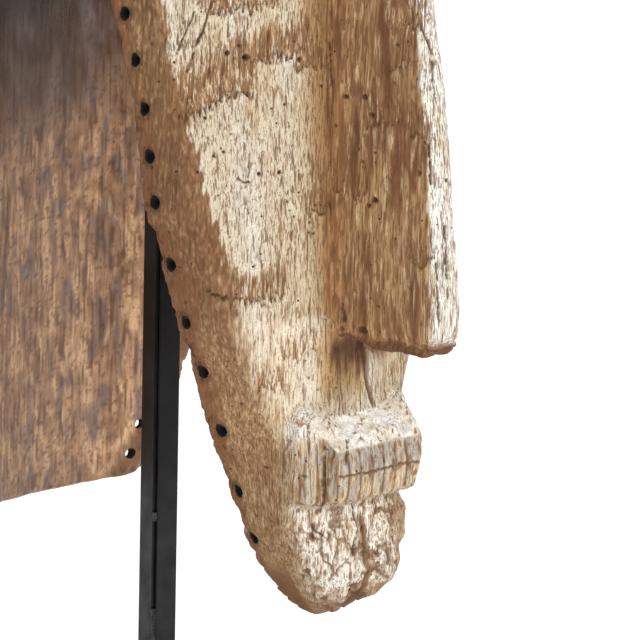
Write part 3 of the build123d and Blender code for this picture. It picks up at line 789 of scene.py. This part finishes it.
def maths(kind, a, b):
    """A maths node of two sockets, or of a socket and a number."""
    made = node("ShaderNodeMath", operation=kind)
    for socket, value in zip(made.inputs, (a, b)):
        if isinstance(value, (int, float)):
            socket.default_value = value
        else:
            link(value, socket)
    return made.outputs["Value"]


def blended(amount, under, over):
    """The colour over laid on the colour socket under, by the amount."""
    made = node("ShaderNodeMix", data_type="RGBA")
    link(amount, made.inputs["Factor"])
    link(under, made.inputs[MIX_UNDER])
    made.inputs[MIX_OVER].default_value = (*over, 1)
    return made.outputs[MIX_RESULT]


paint = painted("tint", "Color")
worn_share = painted("worn")
outside_share = painted("outside")
bare_share = painted("bare")
hole_distance = painted("to_hole")
speckled = painted("speckled")

fibres = stretched(scale=900, squeeze=0.07, detail=3)
spread = maths("MULTIPLY", worn_share, 0.12)
fibrous = ranged(worn_share, 0.0, 0.15)
dash_noise = maths("ADD", stretched(scale=1050, squeeze=0.12, detail=1.5), spread)
dashes = maths("MULTIPLY", ranged(dash_noise, 0.63, 0.68), fibrous)
split_noise = maths("ADD", stretched(scale=560, squeeze=0.05, detail=2.5), spread)
splits = maths("MULTIPLY", ranged(split_noise, 0.655, 0.70), fibrous)
gaps = maths("MULTIPLY", ranged(fibres, 0.54, 0.42), bare_share)
worms = node("ShaderNodeTexVoronoi")
worms.inputs["Scale"].default_value = 105
link(where.outputs["Object"], worms.inputs["Vector"])
holes = maths("MULTIPLY", ranged(worms.outputs["Distance"], 0.085, 0.05), outside_share)

speck_noise = maths("ADD", stretched(scale=850, squeeze=0.4, detail=3), maths("MULTIPLY", speckled, 0.06))
specks = ranged(speck_noise, 0.63, 0.69)
lacing = ranged(hole_distance, HOLE_RADIUS + 0.5, HOLE_RADIUS - 0.1)
crumbs = stretched(scale=1900, squeeze=0.35, detail=2)

# Darker browns laid over the paint: what places each, the value where it begins and the value
# where it is strongest, how strong it gets, and its colour in linear light.
DARKENINGS = [
    (fibres, 0.56, 0.25, 0.60, (0.19, 0.10, 0.045)),
    (specks, 0.0, 1.0, 0.60, (0.14, 0.07, 0.03)),
    (crumbs, 0.45, 0.72, 0.45, (0.22, 0.12, 0.055)),
    (gaps, 0.0, 1.0, 0.75, (0.24, 0.115, 0.045)),
    (dashes, 0.0, 1.0, 0.75, (0.19, 0.085, 0.03)),
    (splits, 0.0, 1.0, 0.72, (0.13, 0.055, 0.02)),
]
HOLE_SHADE = (0.006, 0.004, 0.003)
colour = paint
for places, begins, full, strength, shade in DARKENINGS:
    colour = blended(ranged(places, begins, full, 0.0, strength), colour, shade)
# Worm holes and lacing holes are painted near black: painted shade inside them.
colour = blended(maths("MAXIMUM", holes, lacing), colour, HOLE_SHADE)
link(colour, shader.inputs["Base Color"])
rough = maths("MAXIMUM", ranged(outside_share, 0.1, 0.8, 0.38, 0.88), lacing)
link(rough, shader.inputs["Roughness"])
shader.inputs["Specular IOR Level"].default_value = 0.4

relief = maths("SUBTRACT", maths("MULTIPLY", fibres, 0.6), maths("ADD", dashes, splits))
relief = maths("SUBTRACT", relief, maths("ADD", maths("MULTIPLY", holes, 2.0), gaps))
bump = node("ShaderNodeBump")
bump.inputs["Strength"].default_value = 0.6
bump.inputs["Distance"].default_value = 0.0006
link(relief, bump.inputs["Height"])
link(bump.outputs["Normal"], shader.inputs["Normal"])
carving.data.materials.append(wood)


# ---------------------------------------------------------------------------------------------
# The stand: coated steel, weld beads and felt
# ---------------------------------------------------------------------------------------------
# The noise values between which a stand material goes from its first colour, or roughness, to the
# second.
PATCH_RANGE = (0.38, 0.68)
GLOSS_RANGE = (0.35, 0.7)


def surface(name, colours, patch, roughness, metallic, relief_scale, relief_depth, stretch=(1, 1, 1)):
    """A material of two mixed colours, in patches of about patch metres, with a fine relief."""
    made, tree, shader, node = new_material(name)
    link = tree.links.new
    where = node("ShaderNodeTexCoord")
    mapping = node("ShaderNodeMapping")
    mapping.inputs["Scale"].default_value = stretch
    link(where.outputs["Object"], mapping.inputs["Vector"])

    def noise(scale, detail):
        made_noise = node("ShaderNodeTexNoise")
        made_noise.inputs["Scale"].default_value = scale
        made_noise.inputs["Detail"].default_value = detail
        link(mapping.outputs["Vector"], made_noise.inputs["Vector"])
        return made_noise.outputs["Fac"]

    patches = noise(1 / patch, 6)
    ramp = node("ShaderNodeValToRGB")
    for element, place, shade in zip(ramp.color_ramp.elements, PATCH_RANGE, colours):
        element.position = place
        element.color = (*shade, 1)
    link(patches, ramp.inputs["Fac"])
    link(ramp.outputs["Color"], shader.inputs["Base Color"])
    spread = node("ShaderNodeMapRange")
    spread.inputs["From Min"].default_value, spread.inputs["From Max"].default_value = GLOSS_RANGE
    spread.inputs["To Min"].default_value, spread.inputs["To Max"].default_value = roughness
    link(noise(2.7 / patch, 4), spread.inputs["Value"])
    link(spread.outputs["Result"], shader.inputs["Roughness"])
    shader.inputs["Metallic"].default_value = metallic
    shader.inputs["Specular IOR Level"].default_value = 0.5 if metallic else 0.32
    bump = node("ShaderNodeBump")
    bump.inputs["Strength"].default_value = 0.5
    bump.inputs["Distance"].default_value = relief_depth
    link(noise(relief_scale, 3), bump.inputs["Height"])
    link(bump.outputs["Normal"], shader.inputs["Normal"])
    return made


STAND_LOOKS = {
    "post_steel": surface(
        "post_steel", ((0.004, 0.004, 0.0045), (0.013, 0.013, 0.015)),
        patch=0.03, roughness=(0.34, 0.6), metallic=0.0, relief_scale=900, relief_depth=0.00006,
    ),
    "base_steel": surface(
        "base_steel", ((0.014, 0.014, 0.015), (0.024, 0.024, 0.026)),
        patch=0.05, roughness=(0.42, 0.62), metallic=0.0, relief_scale=1400, relief_depth=0.00010,
    ),
    "weld": surface(
        "weld", ((0.010, 0.010, 0.010), (0.05, 0.048, 0.046)),
        patch=0.004, roughness=(0.35, 0.6), metallic=0.0, relief_scale=2600, relief_depth=0.00010,
    ),
    "felt": surface(
        "felt", ((0.018, 0.018, 0.020), (0.055, 0.053, 0.052)),
        patch=0.0016, roughness=(0.9, 1.0), metallic=0.0, relief_scale=2200, relief_depth=0.0006,
        stretch=(1, 1, 0.6),
    ),
    "screw_steel": surface(
        "screw_steel", ((0.05, 0.05, 0.052), (0.12, 0.12, 0.125)),
        patch=0.006, roughness=(0.28, 0.48), metallic=1.0, relief_scale=1800, relief_depth=0.00004,
    ),
}
STEEL_NODES = {
    "post_steel": [
        "post_angle_right", "post_angle_left", "arm_hub", "crown_plate",
        "front_arm", "rear_arm", "left_arm", "right_arm",
    ],
    "base_steel": ["base_plate", "base_socket"],
    "screw_steel": ["clamp_nut", "clamp_screw"],
}
for look, names in STEEL_NODES.items():
    for name in names:
        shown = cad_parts[name].data
        shown.materials.clear()
        shown.materials.append(STAND_LOOKS[look])


def copy_of(node_name, piece_name):
    """A welded copy of a CAD node, as a new piece."""
    piece = bpy.data.objects.new(piece_name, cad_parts[node_name].data.copy())
    bpy.context.scene.collection.objects.link(piece)
    piece.data.materials.clear()
    work = bmesh.new()
    work.from_mesh(piece.data)
    bmesh.ops.remove_doubles(work, verts=work.verts, dist=MERGE_DISTANCE)
    work.to_mesh(piece.data)
    work.free()
    return piece


def applied(piece, *modifiers):
    """The piece with these modifiers, given as (kind, settings), worked into its mesh."""
    for kind, settings in modifiers:
        modifier = piece.modifiers.new(kind.lower(), kind)
        for key, value in settings.items():
            setattr(modifier, key, value)
    final = bpy.data.meshes.new_from_object(piece.evaluated_get(bpy.context.evaluated_depsgraph_get()))
    piece.modifiers.clear()
    piece.data = final
    final.polygons.foreach_set("use_smooth", [True] * len(final.polygons))
    return final


def place_piece(piece, node_name, body, look):
    """Give a piece its look, and have it stand for a CAD node on the body that it moves with."""
    piece.data.materials.append(STAND_LOOKS[look])
    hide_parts(node_name)
    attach(piece, body)


# A weld's ripples, in mm: their length, their height, and how far the bead is sunk between them.
RIPPLE = 2.1
RIPPLE_HEIGHT = 0.34
RIPPLE_SINK = 0.16
# The welds' mesh size in metres, and the socket weld's radius in mm.
WELD_GRID = 0.0005
SOCKET_WELD_RADIUS = 15.0


def weld_bead(node_name, piece_name, body, run):
    """A rippled bead in a CAD weld's place. run gives the distance along the weld, in mm."""
    piece = copy_of(node_name, piece_name)
    mesh = applied(piece, ("REMESH", {"mode": "VOXEL", "voxel_size": WELD_GRID}))
    relax(mesh, 3)
    points = read_points(mesh) / MM
    along = run(points) + 0.5 * Noise(101)(points, (6, 6, 6))
    phase = along / RIPPLE - np.floor(along / RIPPLE)
    lift = RIPPLE_HEIGHT * (1 - (2 * phase - 1) ** 2) - RIPPLE_SINK
    lift += 0.1 * Noise(103)(points, (1.6, 1.6, 1.6))
    write_points(mesh, (points + read_normals(mesh) * lift[:, None]) * MM)
    place_piece(piece, node_name, body, "weld")


def round_the_socket(points):
    """About the distance round the socket, sloping up a little."""
    angle = np.arctan2(points[:, 1], points[:, 0])
    return angle * SOCKET_WELD_RADIUS + 0.35 * points[:, 2]


weld_bead("post_stitch_welds", "post_stitch_beads", "armature", lambda points: points[:, 2])
weld_bead("socket_weld", "socket_bead", "base", round_the_socket)

# Felt pads: CAD node, piece, body, mesh size in metres, and how far the fuzz stands out in mm.
FELTS = [
    ("crown_pad", "crown_felt", "armature", 0.0009, 0.35),
    ("front_arm_pad", "front_arm_felt", "armature", 0.0006, 0.22),
    ("rear_arm_pad", "rear_arm_felt", "armature", 0.0006, 0.22),
    ("left_arm_pad", "left_arm_felt", "armature", 0.0006, 0.22),
    ("right_arm_pad", "right_arm_felt", "armature", 0.0006, 0.22),
]
for node_name, piece_name, body, grid, fuzz in FELTS:
    piece = copy_of(node_name, piece_name)
    mesh = applied(piece, ("REMESH", {"mode": "VOXEL", "voxel_size": grid}))
    relax(mesh, 5)
    points = read_points(mesh) / MM
    lift = fuzz * Noise(107)(points, (2.2, 2.2, 2.2))
    lift += 0.3 * fuzz * Noise(109)(points, (1.1, 1.1, 1.1))
    write_points(mesh, (points + read_normals(mesh) * lift[:, None]) * MM)
    place_piece(piece, node_name, body, "felt")

# The felt under the base is a plain disc with a soft, slightly uneven edge.
piece = copy_of("base_felt", "base_felt_disc")
mesh = applied(piece, ("BEVEL", {"width": 0.0006, "segments": 3, "angle_limit": math.radians(40)}))
points = read_points(mesh) / MM
outward = points * (1, 1, 0)
outward /= np.maximum(np.linalg.norm(outward, axis=1), 1)[:, None]
edge = smooth(143, 146, np.hypot(points[:, 0], points[:, 1]))
points += outward * (edge * 0.5 * Noise(113)(points, (2.5, 2.5, 1.5)))[:, None]
write_points(mesh, points * MM)
place_piece(piece, "base_felt", "base", "felt")

# ---------------------------------------------------------------------------------------------
# Floor and light
# ---------------------------------------------------------------------------------------------
FLOOR_REACH = 12.0
FLOOR_CORNERS = [(-1, -1), (1, -1), (1, 1), (-1, 1)]
floor_mesh = bpy.data.meshes.new("floor")
corners = [(side * FLOOR_REACH, depth * FLOOR_REACH, 0) for side, depth in FLOOR_CORNERS]
floor_mesh.from_pydata(corners, [], [(0, 1, 2, 3)])
floor = bpy.data.objects.new("floor", floor_mesh)
bpy.context.scene.collection.objects.link(floor)
pale_floor, tree, shader, node = new_material("floor_pale")
shader.inputs["Base Color"].default_value = (0.9, 0.9, 0.9, 1)
shader.inputs["Roughness"].default_value = 0.9
shader.inputs["Emission Color"].default_value = (1, 1, 1, 1)
shader.inputs["Emission Strength"].default_value = 0.6
floor.data.materials.append(pale_floor)

world = bpy.data.worlds.new("world")
bpy.context.scene.world = world
world.use_nodes = True
world.node_tree.nodes["Background"].inputs["Color"].default_value = (1, 1, 1, 1)
world.node_tree.nodes["Background"].inputs["Strength"].default_value = 0.35


def area_light(name, place, target, size, power):
    """A round lamp at a place, facing a target."""
    lamp = bpy.data.lights.new(name, "AREA")
    lamp.shape = "DISK"
    lamp.size = size
    lamp.energy = power
    shown = bpy.data.objects.new(name, lamp)
    shown.location = place
    shown.rotation_euler = (Vector(place) - Vector(target)).to_track_quat("Z", "Y").to_euler()
    bpy.context.scene.collection.objects.link(shown)


area_light("key", (0.45, -2.8, 1.9), (0, -0.1, 0.4), size=0.9, power=66)
area_light("fill", (-2.6, -1.2, 0.9), (0, -0.1, 0.35), size=1.6, power=28)
